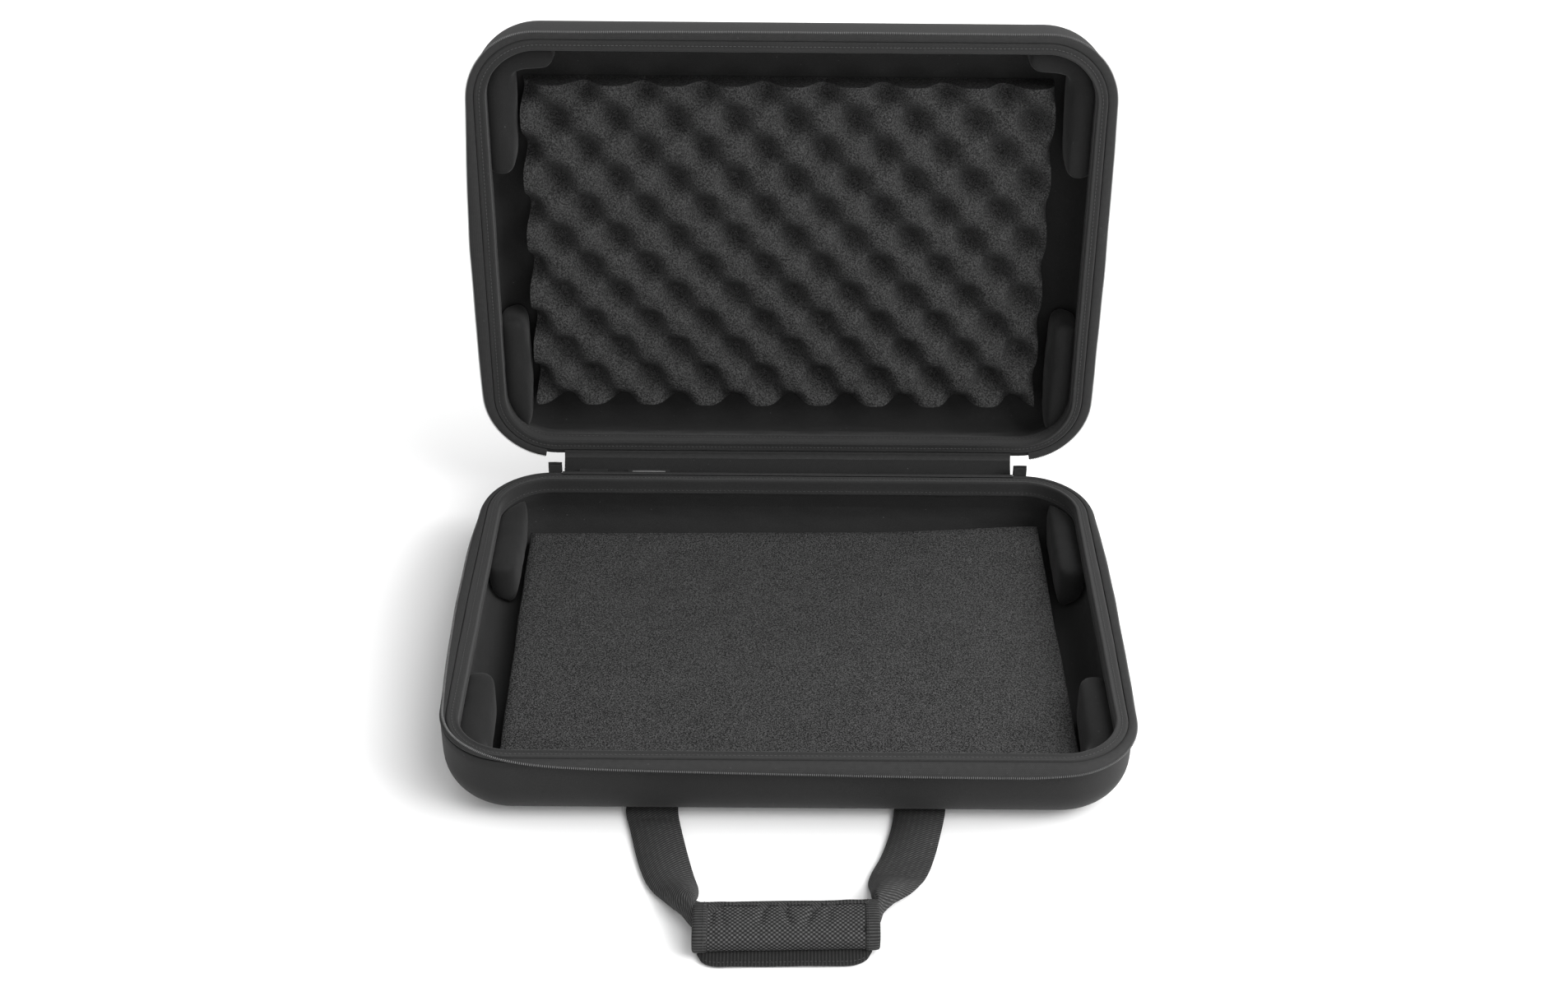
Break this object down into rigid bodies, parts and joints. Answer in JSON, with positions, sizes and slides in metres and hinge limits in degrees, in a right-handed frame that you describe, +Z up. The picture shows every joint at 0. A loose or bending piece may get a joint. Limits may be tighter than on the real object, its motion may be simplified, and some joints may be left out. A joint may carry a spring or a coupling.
{
  "type": "soft-shell carry case",
  "caption": "Foam-moulded clamshell carry case standing open, with a zip round three sides, a fabric hinge, foam inserts, corner pads and a padded webbing handle.",
  "frame": {"origin": "middle of the base's flat underside, on the surface that the case rests on", "axes": "+Z up; -Y to the front, where the handle lies; +Y to the hinge; +X to the right seen from the front. Rest pose: lid open 92.5 degrees"},
  "size_m": [0.5198, 0.6162, 0.4459],
  "materials": {
    "shell_fabric": "matt laminated polyester over moulded foam",
    "lining_fabric": "brushed knit lining",
    "rim_binding": "stitched binding over the raised lip",
    "flat_foam": "open-cell foam sheet",
    "wave_foam": "open-cell foam cut in waves",
    "zip_tape": "woven tape",
    "zip_coil": "moulded nylon coil",
    "label_weave": "plain woven label, blank",
    "black_metal": "black painted zinc",
    "webbing": "heavy woven polyester webbing",
    "grip_weave": "ballistic nylon",
    "grip_ribbon": "ribbed edge binding"
  },
  "bodies": {
    "base": {"base_shell": "shell_fabric", "base_lining": "lining_fabric", "base_rim": "rim_binding", "base_zip_tape": "zip_tape", "base_zip_teeth": "zip_coil", "hinge_strip_base": "zip_tape", "maker_tab": "label_weave", "care_tab": "label_weave", "base_pad_front_left": "lining_fabric", "base_pad_front_right": "lining_fabric", "base_pad_back_left": "lining_fabric", "base_pad_back_right": "lining_fabric", "strap_anchor_left": "webbing", "strap_anchor_right": "webbing"},
    "base_insert": {"base_foam": "flat_foam"},
    "lid": {"lid_shell": "shell_fabric", "lid_lining": "lining_fabric", "lid_rim": "rim_binding", "lid_zip_tape": "zip_tape", "lid_zip_teeth": "zip_coil", "hinge_strip_lid": "zip_tape", "lid_foam": "wave_foam", "lid_pad_front_left": "lining_fabric", "lid_pad_front_right": "lining_fabric", "lid_pad_back_left": "lining_fabric", "lid_pad_back_right": "lining_fabric"},
    "handle": {"handle_webbing": "webbing", "grip_core": "flat_foam", "grip_wrap": "grip_weave", "grip_binding_left": "grip_ribbon", "grip_binding_right": "grip_ribbon"},
    "flap": {"grip_flap": "grip_weave"},
    "slider_left": {"zip_slider_left": "black_metal"},
    "slider_right": {"zip_slider_right": "black_metal"},
    "puller_left": {"zip_puller_left": "black_metal"},
    "puller_right": {"zip_puller_right": "black_metal"}
  },
  "joints": [
    {"name": "lid_hinge", "type": "hinge", "parent": "base", "child": "lid", "pos_m": [0, 0.2014, 0.052], "axis": [1, 0, 0], "range_deg": [-65, 92.5]},
    {"name": "base_foam_lift", "type": "slide", "parent": "base", "child": "base_insert", "axis": [0, 0, 1], "range_m": [0, 0.04]},
    {"name": "handle_swing", "type": "hinge", "parent": "base", "child": "handle", "pos_m": [0, -0.19, 0.0017], "axis": [-1, 0, 0], "range_deg": [0, 70]},
    {"name": "grip_flap_open", "type": "hinge", "parent": "handle", "child": "flap", "pos_m": [0, -0.3195, 0.0015], "axis": [-1, 0, 0], "range_deg": [0, 45]},
    {"name": "slider_left_run", "type": "hinge", "parent": "base", "child": "slider_left", "pos_m": [-0.2005, 0.134, 0.062], "axis": [0, 0, 1], "range_deg": [0, 75]},
    {"name": "slider_right_run", "type": "hinge", "parent": "base", "child": "slider_right", "pos_m": [0.2005, 0.134, 0.062], "axis": [0, 0, -1], "range_deg": [0, 75]},
    {"name": "puller_left_swing", "type": "hinge", "parent": "slider_left", "child": "puller_left", "pos_m": [-0.2005, 0.198, 0.062], "axis": [1, 0, 0], "range_deg": [0, 60]},
    {"name": "puller_right_swing", "type": "hinge", "parent": "slider_right", "child": "puller_right", "pos_m": [0.2005, 0.198, 0.062], "axis": [1, 0, 0], "range_deg": [0, 60]}
  ]
}
